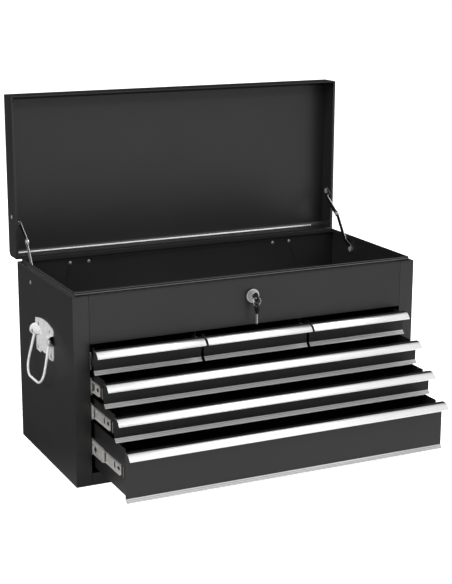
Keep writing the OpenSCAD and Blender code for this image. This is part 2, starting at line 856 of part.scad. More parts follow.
// ---------------------------------------------------------------- lid stays

// Planes of the link ends at the wall, under the collar of the rivet.
stay_end_x = half_w - sheet - collar - 0.2 - stay_t;

// A link from above, as [along the link, x]: it runs flat at main_x and steps out to
// end_x between crank_a and crank_b.
module link_path(main_x, end_x, a, crank_a, crank_b, b) {
    t = stay_t;
    polygon([[a, main_x], [crank_a, main_x], [crank_b, end_x], [b, end_x],
             [b, end_x + t], [crank_b, end_x + t], [crank_a, main_x + t], [a, main_x + t]]);
}

// The outline of a link in side view, from a round end at 0 to one at l.
module link_outline(l, r0, r1) {
    circle(r0, $fn = round_fn);
    translate([l, 0]) circle(r1, $fn = round_fn);
    translate([0, -stay_w / 2]) square([l, stay_w]);
}

// Turns a link drawn along +Y, with x across it, to its place in the side view.
module link_at(pivot, angle) {
    translate([0, pivot[0], pivot[1]]) rotate([angle, 0, 0]) children();
}

module lower_link() {
    r = 5.2;
    link_at(stay_joint, stay_lower_a + 180)
    difference() {
        intersection() {
            translate([0, 0, -10])
                linear_extrude(20)
                    swap_xy()
                        link_path(stay_lower_x, stay_end_x, -r, stay_lower_l - 17,
                                  stay_lower_l - 7, stay_lower_l + r);
            along_x(0, half_w) link_outline(stay_lower_l, r, r);
        }
        rod_x(0, half_w, [0, 0], stay_rivet_r + fit);
        rod_x(0, half_w, [stay_lower_l, 0], stay_rivet_r + fit);
    }
}

module swap_xy() {
    mirror([1, -1, 0]) children();
}

module upper_link() {
    r = 5.2;
    end_r = stay_slot_half + 3.2;
    link_at(stay_joint, stay_upper_a)
    difference() {
        intersection() {
            translate([0, 0, -10])
                linear_extrude(20)
                    swap_xy()
                        link_path(stay_upper_x, stay_end_x, -r, stay_crank_a, stay_crank_b,
                                  stay_upper_l + end_r + 1);
            along_x(0, half_w) {
                link_outline(stay_upper_l, r, end_r);
                translate([stay_upper_l - stay_slot_run, 0]) circle(end_r, $fn = round_fn);
                translate([stay_upper_l - stay_slot_run, -end_r])
                    square([stay_slot_run, 2 * end_r]);
            }
        }
        rod_x(0, half_w, [0, 0], stay_rivet_r + fit);
        // the slot lets the lid rivet slide while the stay folds
        rod_x(0, half_w, [stay_upper_l, 0], stay_slot_half);
        rod_x(0, half_w, [stay_upper_l - stay_slot_run, 0], stay_slot_half);
        block([0, stay_upper_l - stay_slot_run, -stay_slot_half],
              [half_w, stay_upper_l, stay_slot_half]);
    }
}

module stay_lower_links() {
    color([0.75, 0.75, 0.75]) at_sides() lower_link();
}

module stay_upper_links() {
    color([0.75, 0.75, 0.75]) at_sides() upper_link();
}

module stay_joint_rivets() {
    color([0.7, 0.7, 0.7])
    at_sides() {
        rod_x(stay_upper_x - 0.2, stay_lower_x + stay_t, stay_joint, stay_rivet_r);
        rod_x(stay_lower_x + stay_t, stay_lower_x + stay_t + 0.8, stay_joint, 3.4);
        rod_x(stay_upper_x - 1.2, stay_upper_x - 0.2, stay_joint, 3.4);
    }
}

// ---------------------------------------------------------------- side handles

// Places children at the four rivets of a handle plate, as [y, z].
module at_handle_rivets() {
    for (y = [-1, 1]) {
        translate([0, y * (plate_y - 12), plate_z + 7]) children();
        translate([0, y * (plate_y - 16), plate_z + 44]) children();
    }
}

// The outline of a handle plate, as [y, z] from the middle of its lower edge.
module plate_outline() {
    r = 6;
    crown_r = 150;
    crown_z = 56.4;
    difference() {
        union() {
            translate([-plate_y, 23]) square([2 * plate_y, 23]);
            for (y = [-1, 1]) {
                translate([y * (plate_y - r), 46]) circle(r, $fn = 32);
                translate([y * (plate_y - 8), 7]) circle(7, $fn = 32);
            }
            translate([-plate_y + r, 40]) square([2 * (plate_y - r), 12]);
            translate([-plate_y + 1, 7]) square([2 * plate_y - 2, 17]);
            translate([-plate_y + 8, 0]) square([2 * plate_y - 16, 10]);
            intersection() {
                translate([0, crown_z - crown_r]) circle(crown_r, $fn = 180);
                translate([-plate_y + r, 30]) square([2 * (plate_y - r), 30]);
            }
        }
        // the lower edge is cut back between the tabs
        translate([-19, -1]) square([38, 5]);
    }
}

// A hood along Y: a cone standing out of the plate. Its hollow is smaller by wall all
// round and starts one wall behind the tip, so the tip is closed and the outer end open.
module hood_solid(wall) {
    len = plate_y - hood_tip_y;
    translate([0, wall, 0])
        rotate([-90, 0, 0])
            cylinder(h = len - wall, r1 = hood_tip_r - wall, r2 = hood_r - wall, $fn = round_fn);
}

module hood_pair(wall) {
    for (y = [-1, 1])
        translate([half_w + plate_t, y * hood_tip_y, plate_mid_z])
            scale_y(y) hood_solid(wall);
}

module scale_y(side) {
    if (side > 0) children();
    else mirror([0, 1, 0]) children();
}

module handle_plate() {
    difference() {
        union() {
            translate([half_w, 0, plate_z])
                rotate([90, 0, 90]) linear_extrude(plate_t) plate_outline();
            intersection() {
                hood_pair(0);
                block([half_w + plate_t, -plate_y, plate_z], [half_w + 20, plate_y, plate_z + 60]);
            }
        }
        // the hoods are pressed out of the plate, so they are open at the back
        hood_pair(plate_t);
        // slots that the bail legs swing in
        for (y = [-1, 1])
            translate([0, y * bail_half_top, 0])
                block([bail_x - 0.8, -wire_r - play, plate_mid_z - hood_r - 1],
                      [half_w + 20, wire_r + play, plate_mid_z + wire_r + play]);
        at_handle_rivets() rod_x(half_w - 1, half_w + 3, [0, 0], handle_rivet_r + fit);
    }
}

module handle_plates() {
    color([0.78, 0.78, 0.78]) at_sides() handle_plate();
}

module handle_rivets() {
    color([0.6, 0.6, 0.6])
    at_sides()
        at_handle_rivets()
            translate([half_w + plate_t, 0, 0])
                rotate([0, 90, 0]) rivet(handle_rivet_r, plate_t + sheet);
}

// A wire along Z from z = 0 to l.
module wire(l) {
    cylinder(h = l, r = wire_r, $fn = 24);
}

// A quarter bend of the wire in the YZ plane, about its centre, from angle a by sweep.
module wire_bend(r, a, sweep) {
    rotate([0, 90, 0])
        rotate([0, 0, a])
            rotate_extrude(angle = sweep, $fn = round_fn)
                translate([r, 0]) circle(wire_r, $fn = 24);
}

// A faint swelling where a straight stretch of the wire meets a bend.
module wire_weld(y, z) {
    translate([0, y, z]) sphere(wire_r + 0.02, $fn = 24);
}

// The bail hangs straight down from its axis at the origin: a stub turns in each hood,
// a small bend leads to a leg that spreads outward, and a wide corner to the grip.
bail_stub = 2.6;
bail_bend = 4;
bail_corner = 23;
bail_spread = atan2(bail_half_low - bail_half_top, bail_drop - bail_corner - bail_bend);
bail_leg_l = (bail_drop - bail_corner * (1 + sin(bail_spread))
              - bail_bend * (1 - sin(bail_spread))) / cos(bail_spread);
bail_leg = [bail_half_top - bail_bend * (1 - cos(bail_spread)),
            -bail_bend * (1 - sin(bail_spread))];
bail_foot = bail_leg + bail_leg_l * [sin(bail_spread), -cos(bail_spread)];
bail_centre = bail_foot - bail_corner * [cos(bail_spread), sin(bail_spread)];

module bail_half() {
    stub_y = bail_half_top - bail_bend;
    translate([0, stub_y - bail_stub, 0]) rotate([-90, 0, 0]) wire(bail_stub);
    // the collar that keeps the end in the hood
    translate([0, stub_y - 0.6, 0]) rotate([-90, 0, 0]) cylinder(h = 1, r = wire_r + 0.4, $fn = 24);
    translate([0, stub_y, -bail_bend]) wire_bend(bail_bend, 90 + bail_spread, 90 - bail_spread);
    wire_weld(bail_leg[0], bail_leg[1]);
    translate([0, bail_leg[0], bail_leg[1]]) rotate([180 + bail_spread, 0, 0]) wire(bail_leg_l);
    wire_weld(bail_foot[0], bail_foot[1]);
    translate([0, bail_centre[0], bail_centre[1]]) wire_bend(bail_corner, 0, 90 + bail_spread);
    wire_weld(bail_centre[0], -bail_drop);
}

module bail() {
    translate([bail_x, 0, plate_mid_z])
        rotate([0, -bail_lean, 0]) {
            for (y = [-1, 1]) scale_y(y) bail_half();
            translate([0, -bail_centre[0], -bail_drop]) rotate([-90, 0, 0]) wire(2 * bail_centre[0]);
        }
}

module bail_left() {
    color([0.9, 0.9, 0.9]) mirror([1, 0, 0]) bail();
}

module bail_right() {
    color([0.9, 0.9, 0.9]) bail();
}

// ---------------------------------------------------------------- lock

face = -half_d;
lock_z = case_h - lock_drop;
housing_l = 22;
plug_l = 24;

module lock_housing() {
    color([0.85, 0.85, 0.85])
    difference() {
        union() {
            rod_y(face, face + housing_l, [0, lock_z], lock_r);
            rod_y(face - 2.2, face, [0, lock_z], bezel_r);
        }
        rod_y(face - 3, face + housing_l + 1, [0, lock_z], plug_r + fit);
    }
}

module lock_nut() {
    color([0.7, 0.7, 0.7])
    difference() {
        translate([0, face + sheet + 3.5, lock_z])
            rotate([90, 0, 0]) cylinder(h = 3.5, r = lock_r + 3.5, $fn = 6);
        rod_y(face, face + 10, [0, lock_z], lock_r + fit);
    }
}

module lock_plug() {
    color([0.8, 0.8, 0.8])
    difference() {
        union() {
            rod_y(face - 1.6, face + plug_l, [0, lock_z], plug_r);
            // square tail that carries the cam
            block([-2.5, face + plug_l, lock_z - 2.5], [2.5, face + plug_l + 4, lock_z + 2.5]);
        }
        // keyway
        block([-0.9, face - 3, lock_z - 3.4], [0.9, face + 17, lock_z + 3.4]);
    }
}

module lock_cam() {
    color([0.7, 0.7, 0.7])
    difference() {
        union() {
            rod_y(face + plug_l + 0.3, face + plug_l + 2.3, [0, lock_z], 6.5);
            block([-6.5, face + plug_l + 0.3, lock_z - 26], [6.5, face + plug_l + 2.3, lock_z]);
        }
        block([-2.55, face + plug_l, lock_z - 2.55], [2.55, face + plug_l + 5, lock_z + 2.55]);
    }
}

// A key in the YZ plane, from the centre of its bow, with its blade along +Y.
key_t = 1.6;
key_cap_t = 2.8;
key_bow_r = 7;
key_bow_y = face - 12.5;
key_hole_r = 1.6;
key_hole_y = 3.4;
key_blade_l = 25;

// The metal key: a blade with cuts along one edge, and a head that the cap covers.
module metal_key() {
    head_r = key_bow_r - 1.5;
    blade_h = 5.2;
    along_x(-key_t / 2, key_t / 2)
        difference() {
            union() {
                circle(head_r, $fn = round_fn);
                translate([0, -blade_h / 2]) square([key_blade_l, blade_h]);
            }
            translate([-key_hole_y, 0]) circle(key_hole_r, $fn = 24);
            // bitting and the slanted tip
            for (k = [0 : 3])
                translate([key_blade_l - 5.2 - 3.4 * k, blade_h / 2])
                    rotate(45) square(1 + 0.3 * (k % 2), center = true);
            translate([key_blade_l, blade_h / 2]) rotate(45) square(3, center = true);
            translate([key_blade_l, -blade_h / 2]) rotate(45) square(3, center = true);
        }
}

// The moulded cap over the head of a key, with a shoulder where the blade leaves it.
module key_cap_solid() {
    shoulder_h = 7;
    difference() {
        along_x(-key_cap_t / 2, key_cap_t / 2)
            difference() {
                union() {
                    circle(key_bow_r, $fn = round_fn);
                    translate([0, -shoulder_h / 2]) square([key_bow_r + 1.4, shoulder_h]);
                }
                translate([-key_hole_y, 0]) circle(key_hole_r, $fn = 24);
            }
        metal_key();
    }
}

module key() {
    color([0.78, 0.77, 0.72]) translate([0, key_bow_y, lock_z]) metal_key();
}

module key_cap() {
    color([0.12, 0.12, 0.12]) translate([0, key_bow_y, lock_z]) key_cap_solid();
}

// The ring hangs through the hole in the key and carries the spare key.
ring_r = 6.5;
ring_wire = 0.7;
ring_z = lock_z - ring_r + 0.6;
ring_y = key_bow_y - key_hole_y;
spare_z = ring_z - ring_r - key_hole_y - 0.6;

module key_ring() {
    color([0.8, 0.8, 0.8])
    translate([0, ring_y, ring_z])
        rotate([90, 0, 0])
            rotate_extrude($fn = round_fn) translate([ring_r, 0]) circle(ring_wire, $fn = 16);
}

// The spare key hangs with its blade down.
module at_spare() {
    translate([0, ring_y, spare_z]) rotate([-90, 0, 0]) children();
}

module spare_key() {
    color([0.78, 0.77, 0.72]) at_spare() metal_key();
}

module spare_key_cap() {
    color([0.12, 0.12, 0.12]) at_spare() key_cap_solid();
}

case_shell();
base_pan();
front_fascia();
till_floor();
drawer_partitions();
slide_posts();
slide_case_members();
case_rivets();
hinge_case_leaves();
hinge_pins();
lid_shell();
hinge_lid_leaves();
lid_rivets();
stay_lower_links();
stay_upper_links();
stay_joint_rivets();
handle_plates();
handle_rivets();
bail_left();
bail_right();
lock_housing();
lock_nut();
lock_plug();
lock_cam();
key();
key_cap();
key_ring();
spare_key();
spare_key_cap();
drawer_top_left_box();
drawer_top_left_pull();
drawer_top_left_trim();
drawer_top_left_slides();
drawer_top_left_slide_middles();
drawer_top_middle_box();
drawer_top_middle_pull();
drawer_top_middle_trim();
drawer_top_middle_slides();
drawer_top_middle_slide_middles();
drawer_top_right_box();
drawer_top_right_pull();
drawer_top_right_trim();
drawer_top_right_slides();
drawer_top_right_slide_middles();
drawer_second_box();
drawer_second_pull();
drawer_second_trim();
drawer_second_slides();
drawer_second_slide_middles();
drawer_third_box();
drawer_third_pull();
drawer_third_trim();
drawer_third_slides();
drawer_third_slide_middles();
drawer_bottom_box();
drawer_bottom_pull();
drawer_bottom_trim();
drawer_bottom_slides();
drawer_bottom_slide_middles();
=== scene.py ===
"""Looks of the machinist tool chest: finishes, rounded edges, light and camera.

Every piece is a carried-over CAD part. Lengths are in metres, and the tables that give
them in millimetres say so.
"""

import json
import math

import bpy
from mathutils import Matrix, Vector


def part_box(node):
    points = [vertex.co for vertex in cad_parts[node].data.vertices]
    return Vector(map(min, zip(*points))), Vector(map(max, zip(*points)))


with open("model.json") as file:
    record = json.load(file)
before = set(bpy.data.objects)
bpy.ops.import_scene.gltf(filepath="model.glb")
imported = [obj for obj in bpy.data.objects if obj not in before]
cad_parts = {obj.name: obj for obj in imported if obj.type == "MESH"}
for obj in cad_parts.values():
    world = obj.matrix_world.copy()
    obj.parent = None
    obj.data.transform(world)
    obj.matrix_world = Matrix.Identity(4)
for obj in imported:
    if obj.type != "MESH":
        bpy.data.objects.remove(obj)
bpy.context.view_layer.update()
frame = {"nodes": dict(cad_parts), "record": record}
nodes = frame["nodes"]

MM = 0.001
X, Y, Z = (1, 0, 0), (0, 1, 0), (0, 0, 1)


# ------------------------------------------------------------------ shader nodes

def link(tree, out_node, out_name, in_node, in_name):
    tree.links.new(out_node.outputs[out_name], in_node.inputs[in_name])


def add_node(tree, kind, **values):
    """A new node with values for its inputs, whose names have _ for a space."""
    node = tree.nodes.new(kind)
    for name, value in values.items():
        node.inputs[name.replace("_", " ")].default_value = value
    return node


def feed(tree, socket, value):
    """Gives an input its value: the output of another node, or a constant."""
    if isinstance(value, bpy.types.NodeSocket):
        tree.links.new(value, socket)
    else:
        socket.default_value = value


def operate(tree, kind, operation, values):
    node = tree.nodes.new(kind)
    node.operation = operation
    for socket, value in zip(node.inputs, values):
        feed(tree, socket, value)
    return node


def math_step(tree, operation, *values):
    return operate(tree, "ShaderNodeMath", operation, values).outputs[0]


def vector_step(tree, operation, *values, output="Vector"):
    return operate(tree, "ShaderNodeVectorMath", operation, values).outputs[output]


def mix_colours(tree, mask, first, second):
    """The first colour where the mask is 0, the second where it is 1."""
    node = tree.nodes.new("ShaderNodeMix")
    node.data_type = "RGBA"
    for name, value in (("Factor", mask), ("A", first), ("B", second)):
        feed(tree, node.inputs[name], value)
    return node.outputs["Result"]


def rgba(tone):
    """A grey or a colour with full opacity."""
    return (*tone, 1) if isinstance(tone, tuple) else (tone, tone, tone, 1)


def coordinates(tree, kind="Object"):
    """The object's own place, or another of its coordinates."""
    return tree.nodes.new("ShaderNodeTexCoord").outputs[kind]


def place_along(tree, direction, kind="Object"):
    return vector_step(tree, "DOT_PRODUCT", coordinates(tree, kind), direction, output="Value")


def fade(tree, value, start, end, low=0.0, high=1.0):
    """Goes softly from low to high while the value goes from start to end."""
    node = add_node(tree, "ShaderNodeMapRange", From_Min=start, From_Max=end,
                    To_Min=low, To_Max=high)
    node.interpolation_type = "SMOOTHSTEP"
    tree.links.new(value, node.inputs["Value"])
    return node.outputs["Result"]


# ------------------------------------------------------------------ camera and stage

# The photograph's viewing angle in degrees, the camera's place and its lens in millimetres.
CAMERA_YAW = 25.647
CAMERA_PITCH = 14.15
CAMERA_ROLL = 0.156
CAMERA_PLACE = Vector((-947.02, -2009.35, 800.3)) * MM
CAMERA_LENS = 87.62
SENSOR_WIDTH = 36
CLIP_END = 50

# The backdrop's light grows along this direction, from dim to bright between two places.
BRIGHT_SIDE = (0.6, -0.75, 0.25)
BACKDROP_FADE = (-0.3, 0.5)
BACKDROP_DIM = 0.03
BACKDROP_BRIGHT = 0.8

FLOOR_REACH = 12
# The floor lies this far below the chest, so that the two don't share a plane.
FLOOR_DROP = 0.5 * MM
FLOOR_TONE = 0.94
FLOOR_ROUGHNESS = 0.9
FLOOR_SPECULAR = 0.1
# The floor's own glow, as it lights the chest and as the camera sees it.
FLOOR_GLOW_LIT = 0.15
FLOOR_GLOW_SEEN = 1.0
# The floor gets lighter along this direction, from the black card to the open floor.
CARD_SIDE = (0.75, -0.66, 0)
CARD_FADE = (-0.3, 0.12)
CARD_TONE = 0.12

# Area lights: name, place, the point that it faces, width and height, power in watts.
LIGHTS = (
    ("key", (1.0, -2.6, 2.2), (0, 0, 0.25), (1.8, 1.2), 20),
    ("overhead", (0.86, -0.5, 2.5), (0, 0.13, 0.32), (1.3, 0.9), 12),
    ("back_fill", (-0.9, 2.6, 1.7), (0, 0.13, 0.3), (1.4, 1.0), 16),
    ("left_fill", (-2.6, -0.6, 1.5), (0, 0, 0.2), (1.0, 1.0), 48),
)


def make_camera():
    yaw, pitch, roll = (math.radians(a) for a in (CAMERA_YAW, CAMERA_PITCH, CAMERA_ROLL))
    ahead = Vector((math.sin(yaw) * math.cos(pitch),
                    math.cos(yaw) * math.cos(pitch),
                    -math.sin(pitch)))
    level = Vector((math.cos(yaw), -math.sin(yaw), 0))
    above = level.cross(ahead)
    right = level * math.cos(roll) + above * math.sin(roll)
    up = above * math.cos(roll) - level * math.sin(roll)
    data = bpy.data.cameras.new("camera")
    data.lens = CAMERA_LENS
    data.sensor_width = SENSOR_WIDTH
    data.clip_end = CLIP_END
    camera = bpy.data.objects.new("camera", data)
    turn = Matrix((right, up, -ahead)).transposed().to_4x4()
    camera.matrix_world = Matrix.Translation(CAMERA_PLACE) @ turn
    bpy.context.scene.collection.objects.link(camera)
    bpy.context.scene.camera = camera


def make_light(name, place, target, size, power):
    data = bpy.data.lights.new(name, "AREA")
    data.shape = "RECTANGLE"
    data.size, data.size_y = size
    data.energy = power
    light = bpy.data.objects.new(name, data)
    light.location = place
    facing = Vector(target) - Vector(place)
    light.rotation_euler = facing.to_track_quat("-Z", "Y").to_euler()
    bpy.context.scene.collection.objects.link(light)


def make_world():
    """A white backdrop. The light that it gives fades from the front right to the back left."""
    world = bpy.data.worlds.new("studio")
    bpy.context.scene.world = world
    world.use_nodes = True
    tree = world.node_tree
    lit = tree.nodes["Background"]
    lit.inputs["Color"].default_value = rgba(1)
    along = place_along(tree, BRIGHT_SIDE, "Generated")
    strength = fade(tree, along, *BACKDROP_FADE, BACKDROP_DIM, BACKDROP_BRIGHT)
    tree.links.new(strength, lit.inputs["Strength"])
    seen = add_node(tree, "ShaderNodeBackground", Color=rgba(1))
    ray = tree.nodes.new("ShaderNodeLightPath")
    either = tree.nodes.new("ShaderNodeMixShader")
    link(tree, ray, "Is Camera Ray", either, "Fac")
    tree.links.new(lit.outputs[0], either.inputs[1])
    tree.links.new(seen.outputs[0], either.inputs[2])
    tree.links.new(either.outputs[0], tree.nodes["World Output"].inputs["Surface"])


def floor_material():
    """White. Away from the camera's own rays its far left corner is dark, as if a black
    card lay there."""
    material = bpy.data.materials.new("floor_white")
    material.use_nodes = True
    tree = material.node_tree
    shader = tree.nodes["Principled BSDF"]
    shader.inputs["Roughness"].default_value = FLOOR_ROUGHNESS
    shader.inputs["Specular IOR Level"].default_value = FLOOR_SPECULAR
    shader.inputs["Emission Color"].default_value = rgba(1)
    ray = tree.nodes.new("ShaderNodeLightPath")
    bright = math_step(tree, "MAXIMUM",
                       fade(tree, place_along(tree, CARD_SIDE), *CARD_FADE, CARD_TONE),
                       ray.outputs["Is Camera Ray"])
    colour = mix_colours(tree, bright, rgba(0), rgba(FLOOR_TONE))
    tree.links.new(colour, shader.inputs["Base Color"])
    glow = add_node(tree, "ShaderNodeMapRange", To_Min=FLOOR_GLOW_LIT, To_Max=FLOOR_GLOW_SEEN)
    link(tree, ray, "Is Camera Ray", glow, "Value")
    shown = math_step(tree, "MULTIPLY", glow.outputs["Result"], bright)
    tree.links.new(shown, shader.inputs["Emission Strength"])
    return material


def make_floor():
    mesh = bpy.data.meshes.new("floor")
    mesh.from_pydata([(-FLOOR_REACH, -FLOOR_REACH, 0), (FLOOR_REACH, -FLOOR_REACH, 0),
                      (FLOOR_REACH, FLOOR_REACH, 0), (-FLOOR_REACH, FLOOR_REACH, 0)],
                     [], [(0, 1, 2, 3)])
    mesh.materials.append(floor_material())
    floor = bpy.data.objects.new("floor", mesh)
    floor.location.z = -FLOOR_DROP
    bpy.context.scene.collection.objects.link(floor)


make_camera()
make_world()
make_floor()
for light_values in LIGHTS:
    make_light(*light_values)
bpy.context.scene.view_settings.view_transform = "Standard"


# ------------------------------------------------------------------ plain finishes

# Most values of a noise lie between these two.
NOISE_LOW, NOISE_HIGH = 0.3, 0.7
PATCH_DETAIL = 4.0
GRAIN_DETAIL = 3.0
# The noise is drawn out along the pulls and trims, and a little along the slides.
ALONG_X = (0.02, 1, 1)
ALONG_Y = (1, 0.5, 1)


def noise_node(tree, scale, detail, stretch):
    """Noise on the object's own coordinates, scale in cells per metre."""
    mapping = add_node(tree, "ShaderNodeMapping", Scale=stretch)
    tree.links.new(coordinates(tree), mapping.inputs["Vector"])
    noise = add_node(tree, "ShaderNodeTexNoise", Scale=scale, Detail=detail)
    link(tree, mapping, "Vector", noise, "Vector")
    return noise


def finish_material(name, light, dark, metallic, rough, grain, relief,
                    stretch=(1, 1, 1), patch=9.0, specular=0.5):
    """A finish whose colour wanders between two tones in patches, and whose gloss and
    relief follow a fine grain. light and dark are greys or colours, rough is the lowest
    and highest roughness, and patch and grain are noise scales."""
    material = bpy.data.materials.new(name)
    material.use_nodes = True
    tree = material.node_tree
    shader = tree.nodes["Principled BSDF"]
    shader.inputs["Metallic"].default_value = metallic
    shader.inputs["Specular IOR Level"].default_value = specular
    colour = tree.nodes.new("ShaderNodeValToRGB")
    stops = ((NOISE_LOW, dark), (NOISE_HIGH, light))
    for element, (position, tone) in zip(colour.color_ramp.elements, stops):
        element.position = position
        element.color = rgba(tone)
    link(tree, noise_node(tree, patch, PATCH_DETAIL, stretch), "Fac", colour, "Fac")
    link(tree, colour, "Color", shader, "Base Color")
    fine = noise_node(tree, grain, GRAIN_DETAIL, stretch)
    gloss = add_node(tree, "ShaderNodeMapRange", From_Min=NOISE_LOW, From_Max=NOISE_HIGH,
                     To_Min=rough[0], To_Max=rough[1])
    link(tree, fine, "Fac", gloss, "Value")
    link(tree, gloss, "Result", shader, "Roughness")
    bump = add_node(tree, "ShaderNodeBump", Strength=1.0, Distance=relief)
    link(tree, fine, "Fac", bump, "Height")
    link(tree, bump, "Normal", shader, "Normal")
    return material


PAINT = {"light": 0.015, "dark": 0.012, "metallic": 0.0, "rough": (0.32, 0.42),
         "grain": 1500, "relief": 0.03 * MM}

# By material slot.
FINISH_VALUES = {
    "case_paint": PAINT,
    "drawer_paint": PAINT,
    "pull_metal": {
        "light": 0.97, "dark": 0.94, "metallic": 0.9, "rough": (0.27, 0.3),
        "grain": 900, "relief": 0.002 * MM, "stretch": ALONG_X},
    "trim_metal": {
        "light": 0.56, "dark": 0.51, "metallic": 0.6, "rough": (0.34, 0.38),
        "grain": 900, "relief": 0.003 * MM, "stretch": ALONG_X},
    "slide_steel": {
        "light": (0.72, 0.7, 0.67), "dark": (0.52, 0.5, 0.48), "metallic": 0.45,
        "rough": (0.36, 0.5), "grain": 700, "relief": 0.02 * MM, "stretch": ALONG_Y,
        "patch": 260},
    "rivet_steel": {
        "light": 0.7, "dark": 0.62, "metallic": 0.6, "rough": (0.3, 0.4),
        "grain": 900, "relief": 0.02 * MM},
    "hinge_steel": {
        "light": 0.3, "dark": 0.24, "metallic": 0.8, "rough": (0.3, 0.45),
        "grain": 900, "relief": 0.02 * MM},
    "stay_steel": {
        "light": 0.5, "dark": 0.4, "metallic": 0.8, "rough": (0.25, 0.35),
        "grain": 900, "relief": 0.02 * MM},
    "handle_plating": {
        "light": 0.94, "dark": 0.8, "metallic": 0.0, "rough": (0.2, 0.3),
        "grain": 400, "relief": 0.01 * MM, "patch": 140},
    "bail_plating": {
        "light": 0.98, "dark": 0.94, "metallic": 0.0, "rough": (0.16, 0.26),
        "grain": 400, "relief": 0.01 * MM},
    "lock_plating": {
        "light": 0.6, "dark": 0.54, "metallic": 0.5, "rough": (0.3, 0.4),
        "grain": 400, "relief": 0.02 * MM},
    "key_nickel": {
        "light": (0.62, 0.61, 0.58), "dark": (0.5, 0.49, 0.46), "metallic": 0.7,
        "rough": (0.3, 0.4), "grain": 900, "relief": 0.02 * MM},
    "key_black": {
        "light": 0.008, "dark": 0.005, "metallic": 0.0, "rough": (0.45, 0.55),
        "grain": 1200, "relief": 0.04 * MM, "specular": 0.25},
    "ring_steel": {
        "light": 0.4, "dark": 0.32, "metallic": 0.9, "rough": (0.15, 0.25),
        "grain": 600, "relief": 0.01 * MM},
}
FINISHES = {slot: finish_material(slot, **values) for slot, values in FINISH_VALUES.items()}


# ------------------------------------------------------------------ marks in the finishes and painted highlights and shade

def near(tree, value, middle, half_width):
    """1 where the value lies within half_width of middle, else 0."""
    return math_step(tree, "COMPARE", value, middle, half_width)


def band(tree, direction, middle, half_width):
    """1 where the object's own place along a direction lies within half_width of middle."""
    return near(tree, place_along(tree, direction), middle, half_width)


def between(tree, direction, start, end):
    return band(tree, direction, (start + end) / 2, (end - start) / 2)


def distance(tree, keep, centre, core=(0, 0, 0)):
    """How far the object's own place is from a core of half size core round centre. keep
    has a 0 for each direction that doesn't count."""
    away = vector_step(tree, "MULTIPLY", coordinates(tree), keep)
    away = vector_step(tree, "SUBTRACT", away, centre)
    away = vector_step(tree, "ABSOLUTE", away)
    away = vector_step(tree, "SUBTRACT", away, core)
    away = vector_step(tree, "MAXIMUM", away, (0, 0, 0))
    return vector_step(tree, "LENGTH", away, output="Value")


def both(tree, *masks):
    """1 where all the masks are 1."""
    result = masks[0]
    for mask in masks[1:]:
        result = math_step(tree, "MULTIPLY", result, mask)
    return result


def tint(material, mask, tone, bare=False):
    """Gives the masked part of a finish another grey. A bare part has no gloss of its own
    over that grey, so it can be darker or brighter than the paint."""
    tree = material.node_tree
    shader = tree.nodes["Principled BSDF"]
    base = shader.inputs["Base Color"]
    tree.links.new(mix_colours(tree, mask, base.links[0].from_socket, rgba(tone)), base)
    if bare:
        metallic = shader.inputs["Metallic"]
        if metallic.links:
            mask = math_step(tree, "MAXIMUM", metallic.links[0].from_socket, mask)
        tree.links.new(mask, metallic)


def copy_finish(name, slot, specular=None):
    material = FINISHES[slot].copy()
    material.name = name
    if specular is not None:
        shader = material.node_tree.nodes["Principled BSDF"]
        shader.inputs["Specular IOR Level"].default_value = specular
    return material


# The lid's sheet, and the bend along its back with a painted highlight line in it, a bare grey
# strip that stands in for the highlight the bend catches. The line ends short of the right end
# of the lid.
LID_SHEET = 1 * MM
LID_BACK_R = 8 * MM
BEND_HIGHLIGHT_WIDTH = 2.4 * MM
BEND_HIGHLIGHT_END = 266 * MM
BEND_HIGHLIGHT_TONE = 0.4
# What counts as the lid's inside stays this far from its outer sides and its outer face.
INSIDE_TO_SIDE = 1.5 * LID_SHEET
INSIDE_TO_FACE = 0.5 * LID_SHEET
# Below the top edge of the open lid its inside is darker, fully down to the shade's start
# and no more from its end.
SHADE_START = 20 * MM
SHADE_END = 29 * MM
SHADE_TONE = 0.006
# The two painted shadow lines next to the hem, dark and bare: drop below the top edge and half
# width in millimetres.
HEM_SHADOW_LINES = ((2.6, 1.0), (7.9, 1.3))
HEM_SHADOW_TONE = 0.012


def lid_material(node):
    """The case's paint. Along the middle of the bend at the lid's back, where that catches the
    overhead light, a bare grey strip is a painted highlight, and inside along the front it is
    darker with painted shade."""
    material = copy_finish("lid_paint", "case_paint")
    tree = material.node_tree
    low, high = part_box(node)
    axis_y, axis_z = high.y - LID_BACK_R, low.z + LID_BACK_R
    half_root = math.sqrt(0.5)
    # Painted highlight: a bare grey strip along the middle of the back bend.
    painted_line = both(
        tree,
        band(tree, (0, half_root, -half_root),
             half_root * (axis_y - axis_z) + LID_BACK_R - LID_SHEET, LID_SHEET / 2),
        band(tree, (0, half_root, half_root), half_root * (axis_y + axis_z), BEND_HIGHLIGHT_WIDTH / 2),
        between(tree, X, low.x, BEND_HIGHLIGHT_END))
    tint(material, painted_line, BEND_HIGHLIGHT_TONE, bare=True)
    inside = both(
        tree,
        band(tree, X, 0, high.x - INSIDE_TO_SIDE),
        between(tree, Y, low.y - LID_SHEET, high.y - INSIDE_TO_FACE))
    # Painted shade inside the lid below its top edge.
    shade = fade(tree, place_along(tree, Z), high.z - SHADE_END, high.z - SHADE_START)
    tint(material, both(tree, inside, shade), SHADE_TONE)
    # Painted shadow lines under the hem, inside the lid.
    for drop, half_width in HEM_SHADOW_LINES:
        painted_line = band(tree, Z, high.z - drop * MM, half_width * MM)
        tint(material, both(tree, inside, painted_line), HEM_SHADOW_TONE, bare=True)
    return material


FASCIA_SPECULAR = 0.45
